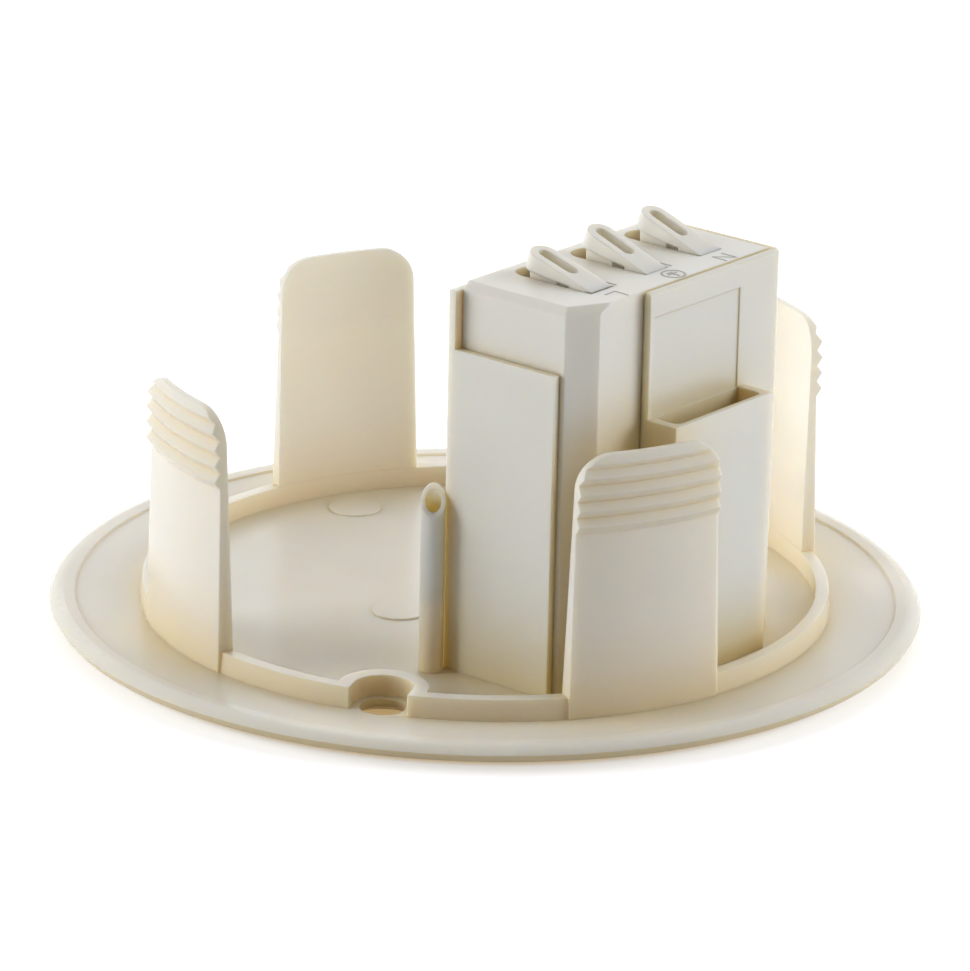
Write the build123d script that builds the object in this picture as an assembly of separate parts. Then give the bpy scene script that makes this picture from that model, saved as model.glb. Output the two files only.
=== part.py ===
"""Light point cover with a three-pole lamp connector, modelled in millimetres.

The cover lies on its visible face with the connector side up.
X runs along the row of release levers, Y across it, Z up through the claws.
The origin is the centre of the round plate on its visible face.
"""
import math
import os

from build123d import *

# Round plate, a shallow dish with a rounded edge
plate_radius = 40.0
plate_thick = 1.5
dish_start_radius = 33.5
edge_rise = 0.92
edge_thick = 1.4
edge_lip = 0.4
edge_roll = 1.3
band_width = 2.3
band_step = 0.12

# Locating ring on the back of the plate
ring_radius = 31.7
ring_wall = 1.35
ring_height = 1.95
ring_draft = 0.2
root_depth = 0.3

# Fixing screws, with the ring stepping inwards round each
screw_spacing = 60.0
screw_hole = 4.1
screw_head = 6.6
screw_sink = 0.75
screw_axis_angle = 22.5
notch_clearance = 0.65

# Sprung claws that grip the flush box
claw_offset_angle = 44.0
claw_half_width = 7.38
claw_taper = 0.55
claw_top = 25.6
claw_root_wall = 1.5
claw_wall = 1.1
claw_tip_wall = 0.5
claw_proud = 0.15
claw_lean = 0.4
claw_corner = 3.2
tooth_count = 4
tooth_pitch = 1.47
tooth_height = 0.55
lead_in = 1.95

# Terminal housing, a five-sided block with one corner cut
housing_x0 = -16.0
housing_x1 = 10.6
housing_y0 = -23.0
housing_y1 = -9.95
housing_top = 37.4
housing_wall = 1.3
corner_cut_x = 2.86
corner_cut_y = 1.5
top_bevel = 0.7
roof_thick = 2.8

# Casing walls that hold the housing
fit_gap = 0.1
side_wall = 0.75
low_wall_top = 31.4
low_wall_end = 1.95
back_wall_drop = 0.7
panel_start = -7.2
panel_recess = 0.12
panel_margin = 0.45
panel_end = 5.6
panel_top = 35.0
casing_round = 0.5
casing_bevel = 0.3
lead_bevel = 0.35

# Latch pocket in front of the casing
pocket_x1 = 6.65
pocket_depth = 3.2
pocket_wall = 0.9
pocket_front_wall = 0.5
pocket_top = 25.75
pocket_floor = 3.0
pocket_corner = 0.7
latch_width = 6.0
latch_z = 22.0
latch_height = 3.0
latch_reach = 0.6

# Hollow guide post beside the casing
post_x = -18.0
post_y = -8.7
post_radius = 1.1
post_bore = 0.72
post_mouth_z = 17.45
post_mouth_slant = 50.0
post_core_top = 8.2
post_facing = 219.5

# Poles: levers, chambers and wire entries
pole_pitch = 7.65
middle_pole_x = -1.8
pole_names = ["live", "earth", "neutral"]
chamber_width = 6.0
slot_width = 3.2
slot_y1 = -10.9
slot_y0 = -20.25
wire_z = 28.9
wire_bore = 2.8
wire_window = 4.7

# Release lever
lever_gap = 0.2
lever_rise = 20.0
live_lever_rise = 16.5
lever_length = 8.0
lever_head_thick = 1.7
lever_tip_thick = 0.1
lever_belly = 0.2
lever_tip_gap = 0.05
pivot_inset = 1.35
pivot_drop = 1.6
pivot_radius = 0.6
pivot_gap = 0.1
pivot_reach = 0.8
barrel_radius = 1.05
stem_back = 0.74
stem_front = 1.25
shank_length = 3.0
shank_bottom = 33.6
shank_side = 0.4
shank_cover = 0.5
finger_slot_length = 4.3
finger_slot_width = 1.2
finger_slot_depth = 2.4
finger_slot_inset = 0.75

# Plug recess, contact carrier and contacts
carrier_z = 15.6
carrier_thick = 1.9
aperture_width = 1.4
aperture_length = 4.4
key_width = 2.0
key_depth = 0.8
contact_width = 4.6
contact_sheet = 0.6
fork_height = 5.2
fork_pinch = 0.3
fork_inset = 0.2
tongue_z = 26.6
tongue_reach = 7.2
spring_sheet = 0.45
spring_width = 4.2
spring_top = 31.6
spring_bend = 1.1
spring_shoulder = 1.2
spring_tip_inset = 0.6
spring_tip_rise = 0.5
seat_gap = 0.05

os.makedirs("parts", exist_ok=True)

# Places worked out from the sizes above
screw_radius = screw_spacing / 2
notch_radius = screw_hole / 2 + notch_clearance
ring_top = plate_thick + ring_height
root_z = plate_thick - root_depth
chamber_y0 = housing_y0 + housing_wall
chamber_y1 = housing_y1 - housing_wall
chamber_floor = carrier_z + carrier_thick
chamber_top = housing_top - roof_thick
casing_x0 = housing_x0 - fit_gap - side_wall
casing_x1 = housing_x1 + fit_gap + side_wall
casing_y0 = housing_y0 - fit_gap - side_wall
casing_y1 = housing_y1 + fit_gap + side_wall
pocket_y0 = casing_y0 - pocket_depth
slot_x = slot_width / 2
pole_xs = [middle_pole_x + (i - 1) * pole_pitch for i in range(len(pole_names))]
pivot_y = slot_y0 + pivot_inset
pivot_z = housing_top - pivot_drop
plug_mid_y = (chamber_y0 + chamber_y1) / 2
screw_places = [Rot(0, 0, screw_axis_angle), Rot(0, 0, screw_axis_angle + 180)]
upright = (Align.CENTER, Align.CENTER, Align.MIN)


def block(x0, x1, y0, y1, z0, z1):
    """Box between two corners."""
    size = Box(x1 - x0, y1 - y0, z1 - z0)
    return Pos((x0 + x1) / 2, (y0 + y1) / 2, (z0 + z1) / 2) * size


def tube(radius, z0, z1, x=0.0, y=0.0):
    """Upright round bar."""
    return Pos(x, y, (z0 + z1) / 2) * Cylinder(radius, z1 - z0)


def cross_bar(radius, y0, y1, x, z):
    """Round bar along Y."""
    return Pos(x, (y0 + y1) / 2, z) * Rot(90, 0, 0) * Cylinder(radius, y1 - y0)


def prism(points, z0, z1):
    """Upright prism on a closed outline of XY points."""
    face = make_face(Polyline(*points, close=True))
    return Pos(0, 0, z0) * extrude(face, z1 - z0)


def side_prism(points, x_mid, width):
    """Prism along X on a closed outline of (Y, Z) points."""
    face = Plane.YZ * make_face(Polyline(*points, close=True))
    return Pos(x_mid - width / 2, 0, 0) * extrude(face, width, dir=(1, 0, 0))


def housing_outline(inset):
    """Five-sided outline of the housing, drawn in by inset."""
    x0, x1 = housing_x0 + inset, housing_x1 - inset
    y0, y1 = housing_y0 + inset, housing_y1 - inset
    return [(x0, y1), (x1, y1), (x1, y0), (x0 + corner_cut_x, y0), (x0, y0 + corner_cut_y)]


def plate():
    """Dished plate, turned from its half section."""
    lip_x = plate_radius - edge_lip
    edge_top = edge_rise + edge_thick
    band_x = plate_radius - band_width
    roll_z = edge_top - edge_thick / 2
    under = Line((0, 0), (dish_start_radius, 0)) + TangentArc(
        (dish_start_radius, 0), (lip_x, edge_rise), tangent=(1, 0)
    )
    lip = Line((lip_x, edge_rise), (plate_radius, roll_z))
    roll = TangentArc((plate_radius - edge_roll, edge_top), (plate_radius, roll_z), tangent=(1, 0))
    back = Polyline(
        (plate_radius - edge_roll, edge_top),
        (band_x, edge_top - band_step / 2),
        (band_x - band_step, edge_top - 2 * band_step),
        (ring_radius, plate_thick),
        (0, plate_thick),
        (0, 0),
    )
    half = make_face(Plane.XZ * (under + lip + roll + back))
    return revolve(half, Axis.Z)


def ring():
    """Locating ring with a bay round each screw."""
    over = ring_top + 1
    bay_radius = notch_radius + ring_wall
    reach = 2 * bay_radius
    body = tube(ring_radius, root_z, ring_top) - tube(ring_radius - ring_wall, root_z, ring_top)
    spaces = []
    for place in screw_places:
        bay = tube(bay_radius, root_z, ring_top, screw_radius)
        bay += block(screw_radius, screw_radius + reach, -bay_radius, bay_radius, root_z, ring_top)
        body += place * bay
        space = tube(notch_radius, plate_thick, over, screw_radius)
        space += block(screw_radius, screw_radius + reach, -notch_radius, notch_radius, plate_thick, over)
        spaces.append(place * space)
    height = ring_height + root_depth
    taper = Cone(ring_radius, ring_radius - ring_draft, height, align=upright)
    body = body & (Pos(0, 0, root_z) * taper)
    return body - spaces[0] - spaces[1]


def claw_section():
    """Half section of the ring of claws, with a row of teeth below the lip."""
    outer = ring_radius + claw_proud
    wall = outer - claw_lean
    first_crest = claw_top - lead_in - (tooth_count - 1) * tooth_pitch
    points = [(outer - claw_root_wall, root_z), (outer, root_z), (wall, first_crest - tooth_pitch / 2)]
    for i in range(tooth_count):
        crest_z = first_crest + i * tooth_pitch
        points.append((wall + tooth_height, crest_z))
        points.append((wall, crest_z + tooth_pitch / 2))
    lip_z = first_crest + tooth_count * tooth_pitch
    points.append((wall + tooth_height / 2, lip_z - tooth_height / 2))
    points.append((wall - claw_wall + 2 * claw_tip_wall, claw_top))
    points.append((wall - claw_wall + claw_tip_wall, claw_top))
    return make_face(Plane.XZ * Polyline(*points, close=True))


def claws():
    """Four claws, two each side of the screw axis."""
    outline = Polyline(
        (-claw_half_width, root_z),
        (claw_half_width, root_z),
        (claw_half_width - claw_taper, claw_top),
        (claw_taper - claw_half_width, claw_top),
        close=True,
    )
    face = make_face(Plane.YZ * outline)
    face = fillet(face.vertices().sort_by(Axis.Z)[-2:], claw_corner)
    blank = extrude(face, 2 * ring_radius, dir=(1, 0, 0))
    sweep_angle = 4 * math.degrees(math.asin(claw_half_width / ring_radius))
    shell = Rot(0, 0, -sweep_angle / 2) * revolve(claw_section(), Axis.Z, sweep_angle)
    claw = shell & blank
    pair = [Rot(0, 0, -claw_offset_angle) * claw, Rot(0, 0, claw_offset_angle) * claw]
    return [place * one for place in screw_places for one in pair]


def casing():
    """Walls that stand round the terminal housing."""
    top = housing_top
    inner_x0 = housing_x0 - fit_gap
    inner_x1 = housing_x1 + fit_gap
    inner_y0 = housing_y0 - fit_gap
    inner_y1 = housing_y1 + fit_gap
    left = block(casing_x0, inner_x0, housing_y0 + low_wall_end, casing_y1, root_z, low_wall_top)
    back = block(casing_x0, casing_x1, inner_y1, casing_y1, root_z, top - back_wall_drop)
    right = block(inner_x1, casing_x1, casing_y0, casing_y1, root_z, top)
    front = block(panel_start, casing_x1, casing_y0, inner_y0, root_z, top)
    walls = left + back + right + front
    corner = walls.edges().filter_by(Axis.Z)
    walls = fillet(corner.sort_by(lambda e: e.center().X - e.center().Y)[-1:], casing_round)
    top_face = walls.faces().filter_by(Axis.Z).sort_by(Axis.Z)[-1]
    outer = top_face.edges().filter_by(Axis.X).sort_by(Axis.Y)[:1]
    walls = chamfer(outer, casing_bevel)
    top_face = walls.faces().filter_by(Axis.Z).sort_by(Axis.Z)[-1]
    inner = top_face.edges().filter_by(lambda e: abs(e.center().Y - inner_y0) < fit_gap / 2)
    inner += top_face.edges().filter_by(lambda e: abs(e.center().X - inner_x1) < fit_gap / 2)
    walls = chamfer(inner, lead_bevel)
    return walls - block(
        panel_start + panel_margin, panel_end, casing_y0, casing_y0 + panel_recess, pocket_top, panel_top
    )


def pocket():
    """Open-topped latch pocket in front of the casing."""
    body = block(panel_start, pocket_x1, pocket_y0, casing_y0, root_z, pocket_top)
    space = block(
        panel_start + pocket_wall,
        pocket_x1 - pocket_wall,
        pocket_y0 + pocket_front_wall,
        casing_y0,
        pocket_floor,
        pocket_top + 1,
    )
    corners = space.edges().filter_by(Axis.Z).sort_by(Axis.Y)[:2]
    return body - fillet(corners, pocket_corner)


def guide_post():
    """Hollow post, solid below, with its mouth cut aslant."""
    place = Pos(post_x, post_y, 0) * Rot(0, 0, post_facing)
    top = post_mouth_z + 2 * post_radius
    wall = tube(post_radius, root_z, top) - tube(post_bore, post_core_top, top)
    reach = 4 * post_radius
    above = block(-reach, reach, -reach, reach, 0, reach)
    return place * (wall - Pos(0, 0, post_mouth_z) * Rot(0, post_mouth_slant, 0) * above)


def cover():
    """The one-piece moulding."""
    body = plate() + ring()
    for claw in claws():
        body += claw
    body += casing()
    body += pocket()
    body += guide_post()
    sink = Cone(screw_head / 2, screw_hole / 2, screw_sink, align=upright)
    for place in screw_places:
        body -= place * tube(screw_hole / 2, -1, plate_thick + 1, screw_radius)
        body -= place * Pos(screw_radius, 0, 0) * sink
    body -= prism(housing_outline(-fit_gap), plate_thick, housing_top + 1)
    body -= prism(housing_outline(housing_wall), -1, plate_thick + 1)
    window = block(
        middle_pole_x - latch_width / 2 - fit_gap,
        middle_pole_x + latch_width / 2 + fit_gap,
        casing_y0 - fit_gap,
        housing_y0,
        latch_z - latch_height - fit_gap,
        latch_z + fit_gap,
    )
    body -= window
    half = wire_window / 2
    x0 = pole_xs[0] - half
    x1 = pole_xs[-1] + half
    return body - block(x0, x1, housing_y1, casing_y1 + 1, wire_z - half, wire_z + half)


def terminal_housing():
    """Tall housing, open below for the plug, with a chamber for each pole."""
    body = prism(housing_outline(0), plate_thick, housing_top)
    bevels = body.edges().filter_by(lambda e: e.center().Z > housing_top - 0.01)
    bevels = bevels.filter_by(lambda e: e.center().X < housing_x0 + corner_cut_x)
    body = chamfer(bevels, top_bevel)
    body -= prism(housing_outline(housing_wall), plate_thick - 1, chamber_floor)
    for x in pole_xs:
        half = chamber_width / 2
        body -= block(x - half, x + half, chamber_y0, chamber_y1, chamber_floor - 1, chamber_top)
        body -= lever_slot(x)
        body -= cross_bar(wire_bore / 2, chamber_y1 - 1, housing_y1 + 1, x, wire_z)
        bearing = pivot_radius + pivot_gap
        reach = slot_x + pivot_reach + pivot_gap
        body -= Pos(x, pivot_y, pivot_z) * Rot(0, 90, 0) * Cylinder(bearing, 2 * reach)
    nib = side_prism(
        [
            (housing_y0, latch_z),
            (housing_y0 - latch_reach, latch_z),
            (housing_y0, latch_z - latch_height),
        ],
        middle_pole_x,
        latch_width,
    )
    key = block(
        middle_pole_x - key_width / 2,
        middle_pole_x + key_width / 2,
        chamber_y1 - key_depth,
        chamber_y1,
        plate_thick,
        carrier_z - seat_gap,
    )
    return body + nib + key


def lever_slot(x):
    """Round-ended slot in the roof above one chamber."""
    z0 = chamber_top - 1
    z1 = housing_top + 1
    slot = block(x - slot_x, x + slot_x, slot_y0, slot_y1 - slot_x, z0, z1)
    return slot + tube(slot_x, z0, z1, x, slot_y1 - slot_x)


def contact_carrier():
    """Plate that closes the chambers and guides the plug pins."""
    body = prism(housing_outline(housing_wall + fit_gap), carrier_z, chamber_floor - seat_gap)
    for x in pole_xs:
        body -= aperture(x)
    return body


def aperture(x):
    """Rectangular hole for one plug pin."""
    half_x = aperture_width / 2
    half_y = aperture_length / 2
    z1 = chamber_floor + contact_sheet
    return block(x - half_x, x + half_x, plug_mid_y - half_y, plug_mid_y + half_y, carrier_z, z1)


def release_lever(x, rise):
    """Rocking lever, drawn flat in its slot and then turned up about its pins."""
    half = slot_x - lever_gap
    tip_y = slot_y0 + lever_tip_gap
    end_y = tip_y + lever_length
    outline = Polyline((-half, 0), (half, 0), (half, lever_length - half))
    outline += RadiusArc((half, lever_length - half), (-half, lever_length - half), -half)
    outline += Line((-half, lever_length - half), (-half, 0))
    head = extrude(make_face(outline), -lever_head_thick)
    sag = (lever_length / 2, -lever_head_thick / 2 - lever_belly)
    belly = ThreePointArc((0, -lever_tip_thick), sag, (lever_length, -lever_head_thick))
    above = Polyline((lever_length, -lever_head_thick), (lever_length, 0), (0, 0), (0, -lever_tip_thick))
    wedge = Plane.YZ * make_face(belly + above)
    head = head & (Pos(-half, 0, 0) * extrude(wedge, 2 * half, dir=(1, 0, 0)))
    finger = SlotOverall(finger_slot_length, finger_slot_width, rotation=90)
    finger_y = lever_length - finger_slot_inset - finger_slot_length / 2
    hole = Pos(0, finger_y, -finger_slot_depth) * extrude(Plane.XY * finger, finger_slot_depth + 1)
    tilt = Pos(x, tip_y, housing_top) * Rot(lever_rise, 0, 0)
    slope = math.tan(math.radians(lever_rise))
    shank_y1 = end_y - 2 * shank_side
    shank_y0 = shank_y1 - shank_length
    shank_points = [
        (shank_y0, shank_bottom),
        (shank_y1, shank_bottom),
        (shank_y1, housing_top + (shank_y1 - tip_y) * slope - shank_cover),
        (shank_y0, housing_top + (shank_y0 - tip_y) * slope - shank_cover),
    ]
    shank = side_prism(shank_points, x, 2 * (half - shank_side))
    barrel = Pos(x, pivot_y, pivot_z) * Rot(0, 90, 0) * Cylinder(barrel_radius, 2 * half)
    pin = Pos(x, pivot_y, pivot_z) * Rot(0, 90, 0) * Cylinder(pivot_radius, 2 * half + 2 * pivot_reach)
    stem_y0 = pivot_y - stem_back
    stem_y1 = pivot_y + stem_front
    stem_points = [
        (stem_y0, pivot_z),
        (stem_y1, pivot_z),
        (stem_y1, housing_top + (stem_y1 - tip_y) * slope - lever_tip_thick),
        (stem_y0, housing_top + (stem_y0 - tip_y) * slope - lever_tip_thick),
    ]
    body = tilt * head + barrel + side_prism(stem_points, x, 2 * half) + pin + shank
    body -= tilt * hole
    pivot = Pos(x, pivot_y, pivot_z)
    return pivot * Rot(rise - lever_rise, 0, 0) * pivot.inverse() * body


def contact(x):
    """Brass strip: fork for the plug pin, riser and wire tongue."""
    half = contact_width / 2
    z0 = chamber_floor
    y0 = chamber_y0 + seat_gap
    base_y1 = plug_mid_y + aperture_length / 2 + contact_sheet
    base = block(x - half, x + half, y0, base_y1, z0, z0 + contact_sheet) - aperture(x)
    leaves = []
    for side in (-1, 1):
        inner = side * aperture_width / 2
        outer = inner + side * contact_sheet
        tip = side * (aperture_width / 2 - fork_pinch)
        leaf_points = [
            (x + inner, z0),
            (x + outer, z0),
            (x + tip + side * contact_sheet, z0 + fork_height),
            (x + tip, z0 + fork_height),
        ]
        leaf = make_face(Plane.XZ * Polyline(*leaf_points, close=True))
        length = aperture_length - 2 * fork_inset
        leaves.append(Pos(0, plug_mid_y + length / 2, 0) * extrude(leaf, length, dir=(0, -1, 0)))
    riser = block(x - half, x + half, y0, y0 + contact_sheet, z0, tongue_z)
    tongue = block(x - half, x + half, y0, y0 + tongue_reach, tongue_z - contact_sheet, tongue_z)
    return base + leaves[0] + leaves[1] + riser + tongue


def clamp_spring(x):
    """Stainless strip bent to press the wire on the tongue."""
    foot_y = chamber_y0 + seat_gap + spring_sheet / 2
    foot_z = tongue_z + seat_gap + spring_sheet / 2
    bend_y = foot_y + spring_bend
    bend_z = spring_top - spring_bend
    knee_y = bend_y + spring_shoulder
    tip_y = chamber_y0 + seat_gap + tongue_reach - spring_tip_inset
    spine = Line((foot_y, foot_z), (foot_y, bend_z))
    spine += TangentArc((foot_y, bend_z), (bend_y, spring_top), tangent=(0, 1))
    spine += Line((bend_y, spring_top), (knee_y, spring_top))
    spine += Line((knee_y, spring_top), (tip_y, tongue_z + spring_tip_rise))
    strip = make_face(offset(Plane.YZ * Wire(spine.edges()), amount=spring_sheet / 2, side=Side.BOTH))
    return Pos(x - spring_width / 2, 0, 0) * extrude(strip, spring_width, dir=(1, 0, 0))


nodes = {
    "cover": cover(),
    "terminal_housing": terminal_housing(),
    "contact_carrier": contact_carrier(),
}
for pole_name, pole_x in zip(pole_names, pole_xs):
    rise = live_lever_rise if pole_name == "live" else lever_rise
    nodes[f"lever_{pole_name}"] = release_lever(pole_x, rise)
    nodes[f"contact_{pole_name}"] = contact(pole_x)
    nodes[f"clamp_spring_{pole_name}"] = clamp_spring(pole_x)

for name, solid in nodes.items():
    export_step(solid, f"parts/{name}.step")
    print(name, round(solid.volume, 1))
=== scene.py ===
"""Light point cover lying on its visible face, dressed for a studio picture.

Metres throughout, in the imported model's own frame: Z up, X along the row of levers,
the lamp socket at -Y, and the floor at Z = 0.
"""

import math

import bpy
from mathutils import Matrix, Vector


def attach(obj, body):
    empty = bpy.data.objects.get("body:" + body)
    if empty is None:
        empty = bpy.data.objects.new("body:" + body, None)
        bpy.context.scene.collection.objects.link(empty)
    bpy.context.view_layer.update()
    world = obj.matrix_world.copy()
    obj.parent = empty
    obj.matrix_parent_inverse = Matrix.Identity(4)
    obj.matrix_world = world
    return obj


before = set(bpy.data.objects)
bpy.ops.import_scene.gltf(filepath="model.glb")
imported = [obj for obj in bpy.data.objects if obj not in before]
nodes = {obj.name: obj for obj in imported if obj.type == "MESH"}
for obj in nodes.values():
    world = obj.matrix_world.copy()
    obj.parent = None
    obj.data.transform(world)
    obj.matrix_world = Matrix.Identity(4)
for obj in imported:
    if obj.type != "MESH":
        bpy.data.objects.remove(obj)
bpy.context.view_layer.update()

# Cover moulding: the dished plate, its ring, four toothed claws, the casing, the latch pocket
# and the guide post are one piece. It is an ivory thermoplastic, injection moulded, a little
# see-through, and its edges are softly rounded. Its corners and recesses get an amber painted
# shade that stands in for the shade and the glow of light through the plastic there.


def link(tree, out_socket, in_socket):
    tree.links.new(out_socket, in_socket)


def noise(tree, place, scale, detail):
    """Clouds of a given number per metre."""
    cloud = tree.nodes.new("ShaderNodeTexNoise")
    cloud.inputs["Scale"].default_value = scale
    cloud.inputs["Detail"].default_value = detail
    link(tree, place.outputs["Object"], cloud.inputs["Vector"])
    return cloud.outputs["Fac"]


def spread(tree, value, low, high, start, end):
    """Turns a value between low and high into one between start and end."""
    scale = tree.nodes.new("ShaderNodeMapRange")
    scale.inputs["From Min"].default_value = low
    scale.inputs["From Max"].default_value = high
    scale.inputs["To Min"].default_value = start
    scale.inputs["To Max"].default_value = end
    link(tree, value, scale.inputs["Value"])
    return scale.outputs["Result"]


def two_colours(tree, factor, first, second):
    """Colour that goes from first to second with the factor."""
    blend = tree.nodes.new("ShaderNodeMix")
    blend.data_type = "RGBA"
    colour_a, colour_b, colour_out = blend.inputs[6], blend.inputs[7], blend.outputs[2]
    link(tree, factor, blend.inputs["Factor"])
    for socket, colour in ((colour_a, first), (colour_b, second)):
        if isinstance(colour, tuple):
            socket.default_value = (*colour, 1.0)
        else:
            link(tree, colour, socket)
    return colour_out


def moulded_plastic(name, pale, warm, painted_shade, reach, roughness, glow, grain, rounding):
    """Ivory plastic: cloudy colour, amber painted shade in hollows, satin skin and rounded
    edges.

    Pale and warm are the two tones of its clouds, and the third tone is an amber painted shade
    that ambient occlusion mixes in where corners lie within reach of other walls. Glow is the
    share of light that travels inside it.
    """
    bleed_colour, bleed_length = (1.0, 0.8, 0.5), 0.0016
    clouds_per_metre, cloud_low, cloud_high = 90.0, 0.35, 0.65
    painted_shade_full_at, painted_shade_gone_at = 0.1, 0.85
    satin_per_metre, satin_below, satin_above = 260.0, 0.05, 0.07
    grains_per_metre, grain_height = 2600.0, 0.00002
    waves_per_metre, wave_height, wave_strength = 110.0, 0.0001, 0.25

    mat = bpy.data.materials.new(name)
    mat.use_nodes = True
    tree = mat.node_tree
    shader = tree.nodes["Principled BSDF"]
    shader.inputs["Specular IOR Level"].default_value = 0.5
    shader.inputs["IOR"].default_value = 1.5
    shader.inputs["Subsurface Weight"].default_value = glow
    shader.inputs["Subsurface Radius"].default_value = bleed_colour
    shader.inputs["Subsurface Scale"].default_value = bleed_length
    place = tree.nodes.new("ShaderNodeTexCoord")

    cloudy = noise(tree, place, clouds_per_metre, 3.0)
    clouds = spread(tree, cloudy, cloud_low, cloud_high, 0.0, 1.0)
    skin_colour = two_colours(tree, clouds, warm, pale)
    # Painted shade: ambient occlusion blends an amber shade colour into the base colour in
    # corners and recesses.
    corners = tree.nodes.new("ShaderNodeAmbientOcclusion")
    corners.samples = 1
    corners.inputs["Distance"].default_value = reach
    out_of_painted_shade = spread(tree, corners.outputs["AO"], painted_shade_full_at, painted_shade_gone_at, 0.0, 1.0)
    colour = two_colours(tree, out_of_painted_shade, painted_shade, skin_colour)
    link(tree, colour, shader.inputs["Base Color"])

    patches = noise(tree, place, satin_per_metre, 2.0)
    satin = spread(tree, patches, 0.0, 1.0, roughness - satin_below, roughness + satin_above)
    link(tree, satin, shader.inputs["Roughness"])

    edge = tree.nodes.new("ShaderNodeBevel")
    edge.samples = 2
    edge.inputs["Radius"].default_value = rounding
    fine = tree.nodes.new("ShaderNodeBump")
    fine.inputs["Strength"].default_value = grain
    fine.inputs["Distance"].default_value = grain_height
    link(tree, noise(tree, place, grains_per_metre, 4.0), fine.inputs["Height"])
    link(tree, edge.outputs["Normal"], fine.inputs["Normal"])
    broad = tree.nodes.new("ShaderNodeBump")
    broad.inputs["Strength"].default_value = wave_strength
    broad.inputs["Distance"].default_value = wave_height
    link(tree, noise(tree, place, waves_per_metre, 1.0), broad.inputs["Height"])
    link(tree, fine.outputs["Normal"], broad.inputs["Normal"])
    link(tree, broad.outputs["Normal"], shader.inputs["Normal"])
    return mat


def dress(node, material):
    """Gives a CAD node its finish."""
    data = nodes[node].data
    data.materials.clear()
    data.materials.append(material)


ivory_pale = (0.82, 0.79, 0.725)
ivory_warm = (0.805, 0.772, 0.70)
# Painted shade: the amber colour given to the ivory's corners and recesses.
ivory_painted_shade = (0.74, 0.58, 0.24)
wall_reach = 0.009
ivory = moulded_plastic(
    "ivory_moulding",
    pale=ivory_pale,
    warm=ivory_warm,
    painted_shade=ivory_painted_shade,
    reach=wall_reach,
    roughness=0.18,
    glow=0.7,
    grain=0.3,
    rounding=0.0002,
)
dress("cover", ivory)

# Pin marks: two flat round marks that the mould's ejector pins leave on the plate. They are
# part of the ivory moulding and stand a sixth of a millimetre above it, polished by the pin.


def node_tree(name):
    """Geometry node tree with one input and one output for the mesh."""
    tree = bpy.data.node_groups.new(name, "GeometryNodeTree")
    for way in ("INPUT", "OUTPUT"):
        tree.interface.new_socket(
            name="Geometry", in_out=way, socket_type="NodeSocketGeometry"
        )
    return tree, tree.nodes.new("NodeGroupInput"), tree.nodes.new("NodeGroupOutput")


def size_input(tree, name):
    """Adds a named size to a tree."""
    tree.interface.new_socket(name=name, in_out="INPUT", socket_type="NodeSocketFloat")


def finish_tree(tree, mesh_socket, material, out_node):
    """Ends a tree with real faces in one material."""
    real = tree.nodes.new("GeometryNodeRealizeInstances")
    coat = tree.nodes.new("GeometryNodeSetMaterial")
    coat.inputs["Material"].default_value = material
    link(tree, mesh_socket, real.inputs["Geometry"])
    link(tree, real.outputs["Geometry"], coat.inputs["Geometry"])
    link(tree, coat.outputs["Geometry"], out_node.inputs["Geometry"])


def grown(name, base, tree, sizes, material):
    """Object made by a node tree from a base mesh, turned into a plain mesh."""
    source = bpy.data.objects.new(name + "_base", base)
    bpy.context.scene.collection.objects.link(source)
    growth = source.modifiers.new("growth", "NODES")
    growth.node_group = tree
    for item in tree.interface.items_tree:
        if item.in_out == "INPUT" and item.name in sizes:
            growth[item.identifier] = sizes[item.name]
    bpy.context.view_layer.update()
    ready = source.evaluated_get(bpy.context.evaluated_depsgraph_get())
    data = bpy.data.meshes.new_from_object(ready)
    source.modifiers.remove(growth)
    bpy.data.objects.remove(source)
    data.name = name
    data.materials.clear()
    data.materials.append(material)
    piece = bpy.data.objects.new(name, data)
    bpy.context.scene.collection.objects.link(piece)
    return piece


plate_top = 0.0015
pin_sizes = {"Radius": 0.0025, "Height": 0.0003}
pin_spots = [(0.00975, 0.0244), (-0.00861, 0.00304)]
pin_sides = 64
pin_polish = moulded_plastic(
    "pin_mark_ivory",
    pale=ivory_pale,
    warm=ivory_warm,
    # Painted shade round the pin marks, as on the ivory.
    painted_shade=ivory_painted_shade,
    reach=wall_reach,
    roughness=0.18,
    glow=0.0,
    grain=0.2,
    rounding=0.00005,
)
pin_tree, pin_in, pin_out = node_tree("pin_mark_tree")
for size_name in pin_sizes:
    size_input(pin_tree, size_name)
pin_disc = pin_tree.nodes.new("GeometryNodeMeshCylinder")
pin_disc.inputs["Vertices"].default_value = pin_sides
link(pin_tree, pin_in.outputs["Radius"], pin_disc.inputs["Radius"])
link(pin_tree, pin_in.outputs["Height"], pin_disc.inputs["Depth"])
pin_places = pin_tree.nodes.new("GeometryNodeInstanceOnPoints")
link(pin_tree, pin_in.outputs["Geometry"], pin_places.inputs["Points"])
link(pin_tree, pin_disc.outputs["Mesh"], pin_places.inputs["Instance"])
finish_tree(pin_tree, pin_places.outputs["Instances"], pin_polish, pin_out)

pin_base = bpy.data.meshes.new("pin_base")
pin_base.from_pydata([(x, y, plate_top) for x, y in pin_spots], [], [])
pin_marks = grown("pin_marks", pin_base, pin_tree, pin_sizes, pin_polish)
for face in pin_marks.data.polygons:
    is_side = len(face.vertices) == 4
    face.use_smooth = is_side
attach(pin_marks, "cover_body")

# Terminal housing: a tall off-white block, snapped into the casing by its latch. It is
# moulded in a slightly cooler and duller plastic, and the contact carrier inside matches it.

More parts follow.
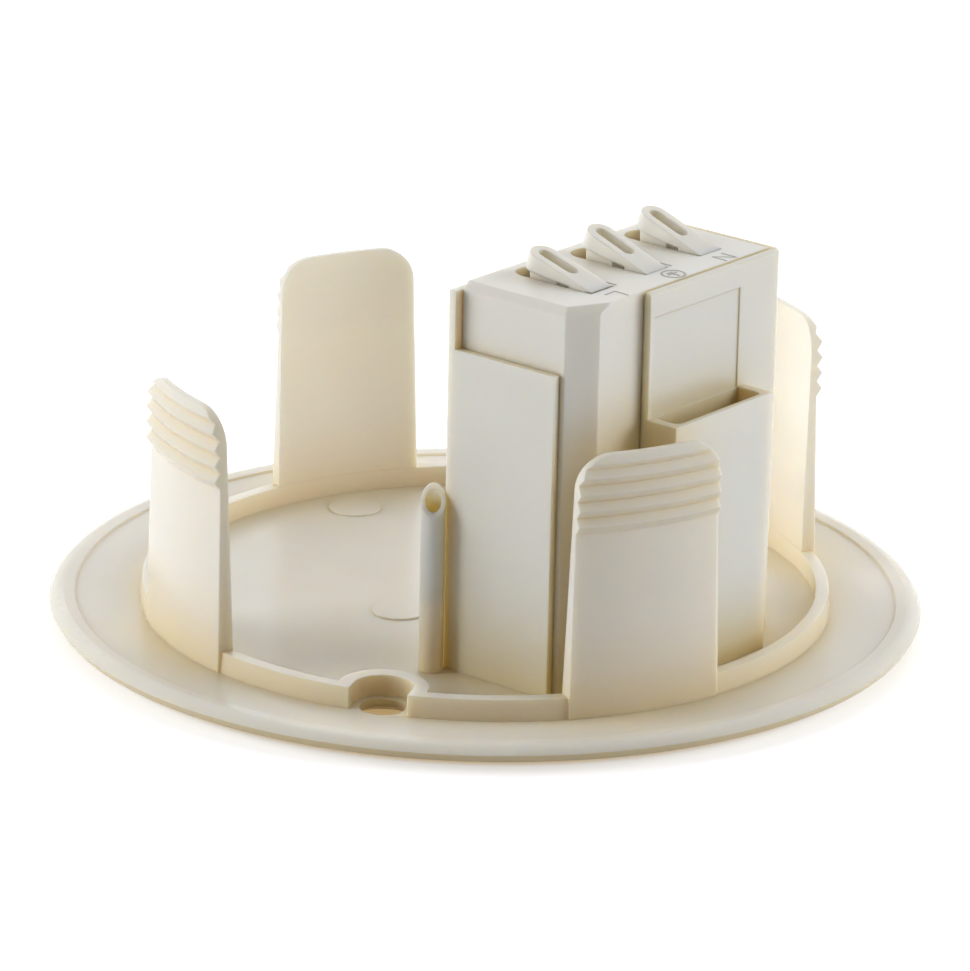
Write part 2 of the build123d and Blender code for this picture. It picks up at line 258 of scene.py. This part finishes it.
housing_white = moulded_plastic(
    "housing_moulding",
    pale=(0.82, 0.80, 0.755),
    warm=(0.805, 0.785, 0.735),
    # Painted shade: amber colour given to the housing's corners and recesses.
    painted_shade=(0.72, 0.6, 0.33),
    reach=wall_reach,
    roughness=0.3,
    glow=0.6,
    grain=0.35,
    rounding=0.00025,
)
dress("terminal_housing", housing_white)
dress("contact_carrier", housing_white)

# Pole marks: thin lines moulded in the roof of the housing, with the signs for live, earth
# and neutral and a dash beside each lever. Their grey-green is painted shade, standing in for
# the shade along the moulded lines against the pale roof.

roof_z = 0.0374
line_sizes = {"Radius": 0.00014}
line_sink = 0.00009
line_sides = 8
# Painted shade: the lines are coloured dark grey-green for the shade along the moulded lines.
line_painted_shade = moulded_plastic(
    "pole_line_painted_shade",
    pale=(0.47, 0.455, 0.39),
    warm=(0.42, 0.41, 0.34),
    painted_shade=(0.3, 0.27, 0.2),
    reach=0.002,
    roughness=0.5,
    glow=0.2,
    grain=0.3,
    rounding=0.00005,
)
line_tree, line_in, line_out = node_tree("pole_line_tree")
for size_name in line_sizes:
    size_input(line_tree, size_name)
line_path = line_tree.nodes.new("GeometryNodeMeshToCurve")
line_round = line_tree.nodes.new("GeometryNodeCurvePrimitiveCircle")
line_round.inputs["Resolution"].default_value = line_sides
line_body = line_tree.nodes.new("GeometryNodeCurveToMesh")
line_body.inputs["Fill Caps"].default_value = True
link(line_tree, line_in.outputs["Radius"], line_round.inputs["Radius"])
link(line_tree, line_in.outputs["Geometry"], line_path.inputs["Mesh"])
link(line_tree, line_path.outputs["Curve"], line_body.inputs["Curve"])
link(line_tree, line_round.outputs["Curve"], line_body.inputs["Profile Curve"])
finish_tree(line_tree, line_body.outputs["Mesh"], line_painted_shade, line_out)

live_sign = [(-0.01036, -0.02125), (-0.00896, -0.02118), (-0.00903, -0.02275)]
neutral_sign = [
    (0.00635, -0.0211), (0.0063, -0.02275), (0.00492, -0.02115), (0.00488, -0.02275),
]
earth_x, earth_y = -0.00145, -0.02175
earth_radius, earth_steps = 0.00105, 32
earth_stem_low, earth_bar, earth_bar_top = -0.0007, 0.0001, 0.0004
earth_bar_half, earth_top_half = 0.0006, 0.00035
dash_columns = (-0.00745, 0.0003, 0.00725)
dash_start, dash_end = -0.01885, -0.02015

strokes = [
    live_sign,
    neutral_sign,
    [(earth_x, earth_y + earth_stem_low), (earth_x, earth_y + earth_bar)],
]
for half_width, bar_y in ((earth_bar_half, earth_bar), (earth_top_half, earth_bar_top)):
    strokes.append(
        [(earth_x - half_width, earth_y + bar_y), (earth_x + half_width, earth_y + bar_y)]
    )
for dash_x in dash_columns:
    strokes.append([(dash_x, dash_start), (dash_x, dash_end)])
earth_ring = []
for i in range(earth_steps):
    angle = 2 * math.pi * i / earth_steps
    earth_ring.append(
        (earth_x + earth_radius * math.cos(angle), earth_y + earth_radius * math.sin(angle))
    )

line_points = []
line_edges = []
for stroke in strokes:
    first = len(line_points)
    line_points += [(x, y, roof_z - line_sink) for x, y in stroke]
    line_edges += [(first + i, first + i + 1) for i in range(len(stroke) - 1)]
first = len(line_points)
line_points += [(x, y, roof_z - line_sink) for x, y in earth_ring]
line_edges += [(first + i, first + (i + 1) % earth_steps) for i in range(earth_steps)]
line_base = bpy.data.meshes.new("line_base")
line_base.from_pydata(line_points, line_edges, [])
pole_marks = grown("pole_marks", line_base, line_tree, line_sizes, line_painted_shade)
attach(pole_marks, "cover_body")

# Release levers: three small wedges of the housing's plastic. Each turns about pins moulded
# on its sides, stands proud of its slot and opens its clamp when it is pressed.

poles = ("live", "earth", "neutral")
lever_white = moulded_plastic(
    "lever_moulding",
    pale=(0.81, 0.79, 0.735),
    warm=(0.795, 0.77, 0.71),
    # Painted shade: a faint warm grey given to the levers' corners and slots.
    painted_shade=(0.78, 0.73, 0.62),
    reach=0.0015,
    roughness=0.32,
    glow=0.5,
    grain=0.25,
    rounding=0.0002,
)
for pole in poles:
    dress(f"lever_{pole}", lever_white)

# Contacts and clamp springs: strips pressed from brass and bent from stainless spring steel,
# held in the chambers of the housing. The rolling marks run along each strip.


def strip_metal(name, bright, dull, roughness):
    """Rolled strip with fine lines along the rolling direction."""
    lines_across, lines_along = 5000.0, 60.0
    shine_below, shine_above = 0.06, 0.08
    scratch_strength, scratch_depth = 0.15, 0.00001

    mat = bpy.data.materials.new(name)
    mat.use_nodes = True
    tree = mat.node_tree
    shader = tree.nodes["Principled BSDF"]
    shader.inputs["Metallic"].default_value = 1.0
    place = tree.nodes.new("ShaderNodeTexCoord")
    stretch = tree.nodes.new("ShaderNodeMapping")
    stretch.inputs["Scale"].default_value = (lines_across, lines_along, lines_along)
    link(tree, place.outputs["Object"], stretch.inputs["Vector"])
    lines = tree.nodes.new("ShaderNodeTexNoise")
    lines.inputs["Scale"].default_value = 1.0
    lines.inputs["Detail"].default_value = 3.0
    link(tree, stretch.outputs["Vector"], lines.inputs["Vector"])
    tarnish = spread(tree, lines.outputs["Fac"], 0.3, 0.7, 0.0, 1.0)
    link(tree, two_colours(tree, tarnish, dull, bright), shader.inputs["Base Color"])
    polish = spread(
        tree, lines.outputs["Fac"], 0.0, 1.0, roughness - shine_below, roughness + shine_above
    )
    link(tree, polish, shader.inputs["Roughness"])
    scratch = tree.nodes.new("ShaderNodeBump")
    scratch.inputs["Strength"].default_value = scratch_strength
    scratch.inputs["Distance"].default_value = scratch_depth
    link(tree, lines.outputs["Fac"], scratch.inputs["Height"])
    link(tree, scratch.outputs["Normal"], shader.inputs["Normal"])
    return mat


brass = strip_metal("contact_brass", (0.78, 0.58, 0.28), (0.64, 0.46, 0.21), 0.28)
steel = strip_metal("spring_stainless", (0.62, 0.61, 0.59), (0.5, 0.49, 0.47), 0.3)
for pole in poles:
    dress(f"contact_{pole}", brass)
    dress(f"clamp_spring_{pole}", steel)

# Table: white paper, seen as pure white by the camera and by reflections. Under the plate the
# paper is coloured amber and shines amber to the camera and in reflections: a painted glow
# that stands in for the light coming through the plastic, which shows in the screw holes. It
# keeps the object's soft shadow.


def seen_straight(tree):
    """1 for what the camera and reflections see, 0 for the light that is thrown on things."""
    rays = tree.nodes.new("ShaderNodeLightPath")
    either = tree.nodes.new("ShaderNodeMath")
    either.operation = "MAXIMUM"
    link(tree, rays.outputs["Is Camera Ray"], either.inputs[0])
    link(tree, rays.outputs["Is Glossy Ray"], either.inputs[1])
    return either.outputs[0]


white = (1.0, 1.0, 1.0)
half_table = 3.0
cover_shade_radius, open_radius = 0.037, 0.0385
# Painted glow: inside the plate's outline the paper is amber and gives off amber light to the
# camera and reflections.
paper_painted_amber, paper_open = (0.6, 0.4, 0.15), (0.7, 0.7, 0.7)
painted_glow_colour = (0.85, 0.62, 0.3)
painted_glow_level, lift_open = 0.45, 0.6

table_data = bpy.data.meshes.new("studio_floor")
table_corners = [
    (-half_table, -half_table, 0),
    (half_table, -half_table, 0),
    (half_table, half_table, 0),
    (-half_table, half_table, 0),
]
table_data.from_pydata(table_corners, [], [(0, 1, 2, 3)])
table = bpy.data.objects.new("studio_floor", table_data)
bpy.context.scene.collection.objects.link(table)
paper = bpy.data.materials.new("studio_paper")
paper.use_nodes = True
paper_tree = paper.node_tree
paper_tree.nodes.clear()
paper_place = paper_tree.nodes.new("ShaderNodeTexCoord")
from_middle = paper_tree.nodes.new("ShaderNodeVectorMath")
from_middle.operation = "LENGTH"
link(paper_tree, paper_place.outputs["Object"], from_middle.inputs[0])
in_the_open = spread(
    paper_tree, from_middle.outputs["Value"], cover_shade_radius, open_radius, 0.0, 1.0
)
matte = paper_tree.nodes.new("ShaderNodeBsdfDiffuse")
paper_and_painted_amber = two_colours(paper_tree, in_the_open, paper_painted_amber, paper_open)
link(paper_tree, paper_and_painted_amber, matte.inputs["Color"])
lift_and_painted_glow = paper_tree.nodes.new("ShaderNodeEmission")
lift_and_glow_colour = two_colours(paper_tree, in_the_open, painted_glow_colour, white)
link(paper_tree, lift_and_glow_colour, lift_and_painted_glow.inputs["Color"])
lift = paper_tree.nodes.new("ShaderNodeMath")
lift.operation = "MULTIPLY"
lift_level = spread(paper_tree, in_the_open, 0.0, 1.0, painted_glow_level, lift_open)
link(paper_tree, seen_straight(paper_tree), lift.inputs[0])
link(paper_tree, lift_level, lift.inputs[1])
link(paper_tree, lift.outputs[0], lift_and_painted_glow.inputs["Strength"])
blend = paper_tree.nodes.new("ShaderNodeAddShader")
link(paper_tree, matte.outputs[0], blend.inputs[0])
link(paper_tree, lift_and_painted_glow.outputs[0], blend.inputs[1])
paper_out = paper_tree.nodes.new("ShaderNodeOutputMaterial")
link(paper_tree, blend.outputs[0], paper_out.inputs["Surface"])
table_data.materials.append(paper)

# Surroundings: a white tent round the table. The light that it throws is dimmer than it looks
# to the camera and in reflections, and comes mostly from behind the object.

tent_front, tent_back = 0.11, 0.36
backwards = (0.772, 0.636, 0.0)

world = bpy.data.worlds.new("studio_world")
bpy.context.scene.world = world
world.use_nodes = True
tent_tree = world.node_tree
tent_tree.nodes.clear()
tent_way = tent_tree.nodes.new("ShaderNodeTexCoord")
facing = tent_tree.nodes.new("ShaderNodeVectorMath")
facing.operation = "DOT_PRODUCT"
facing.inputs[1].default_value = backwards
link(tent_tree, tent_way.outputs["Generated"], facing.inputs[0])
thrown = spread(tent_tree, facing.outputs["Value"], -1.0, 1.0, tent_front, tent_back)
level = tent_tree.nodes.new("ShaderNodeMix")
level.data_type = "FLOAT"
level.inputs["B"].default_value = 1.0
link(tent_tree, seen_straight(tent_tree), level.inputs["Factor"])
link(tent_tree, thrown, level.inputs["A"])
tent = tent_tree.nodes.new("ShaderNodeBackground")
tent.inputs["Color"].default_value = (*white, 1.0)
link(tent_tree, level.outputs["Result"], tent.inputs["Strength"])
tent_out = tent_tree.nodes.new("ShaderNodeOutputWorld")
link(tent_tree, tent.outputs[0], tent_out.inputs["Surface"])

# Camera: a long lens on a stand, turned and tilted as measured from the plate's outline and
# the claws in the photograph.

view_azimuth = math.radians(-50.5)
view_elevation = math.radians(19.33)
view_roll = math.radians(1.24)
view_distance = 0.5468
view_drop = 0.01113
view_lift = 0.00034
focal_pixels = 5940.0
photo_height = 971.0

side = Vector((math.cos(view_azimuth), math.sin(view_azimuth), 0.0))
ahead = Vector((
    -math.sin(view_azimuth) * math.cos(view_elevation),
    math.cos(view_azimuth) * math.cos(view_elevation),
    -math.sin(view_elevation),
))
above = side.cross(ahead)
right = side * math.cos(view_roll) + above * math.sin(view_roll)
up = above * math.cos(view_roll) - side * math.sin(view_roll)
lens = bpy.data.cameras.new("portrait_camera")
lens.lens = focal_pixels * lens.sensor_width / photo_height
lens.clip_start = 0.01
lens.clip_end = 20.0
camera = bpy.data.objects.new("portrait_camera", lens)
bpy.context.scene.collection.objects.link(camera)
turn = Matrix((right, up, -ahead)).transposed()
eye = up * view_drop - ahead * view_distance + Vector((0.0, 0.0, view_lift))
camera.matrix_world = Matrix.Translation(eye) @ turn.to_4x4()
bpy.context.scene.camera = camera
bpy.context.scene.view_settings.view_transform = "Standard"

# Lamps: three large softboxes a metre away, to the left, to the right and behind. They hang
# low, so upright walls are as light as the roof, and gloss shows the tent in their place.

lamp_distance = 1.0
towards_camera = Vector((-ahead.x, -ahead.y, 0.0)).normalized()


def softbox(name, turned, risen, size, level):
    """Square lamp, turned from the camera to the left and risen from the table, in degrees."""
    data = bpy.data.lights.new(name, "AREA")
    data.shape = "SQUARE"
    data.size = size
    data.energy = level * (math.pi * lamp_distance) ** 2
    lamp = bpy.data.objects.new(name, data)
    bpy.context.scene.collection.objects.link(lamp)
    lamp.visible_glossy = False
    turned, risen = math.radians(turned), math.radians(risen)
    level_way = towards_camera * math.cos(turned) - side * math.sin(turned)
    way = level_way * math.cos(risen) + Vector((0.0, 0.0, math.sin(risen)))
    lamp.location = way * lamp_distance
    lamp.rotation_mode = "QUATERNION"
    lamp.rotation_quaternion = (-way).to_track_quat("-Z", "Y")


softbox("left_softbox", 89.0, 21.0, size=0.7, level=0.78)
softbox("right_softbox", -93.0, 20.0, size=0.7, level=0.7)
softbox("back_softbox", 180.0, 32.0, size=0.9, level=0.5)
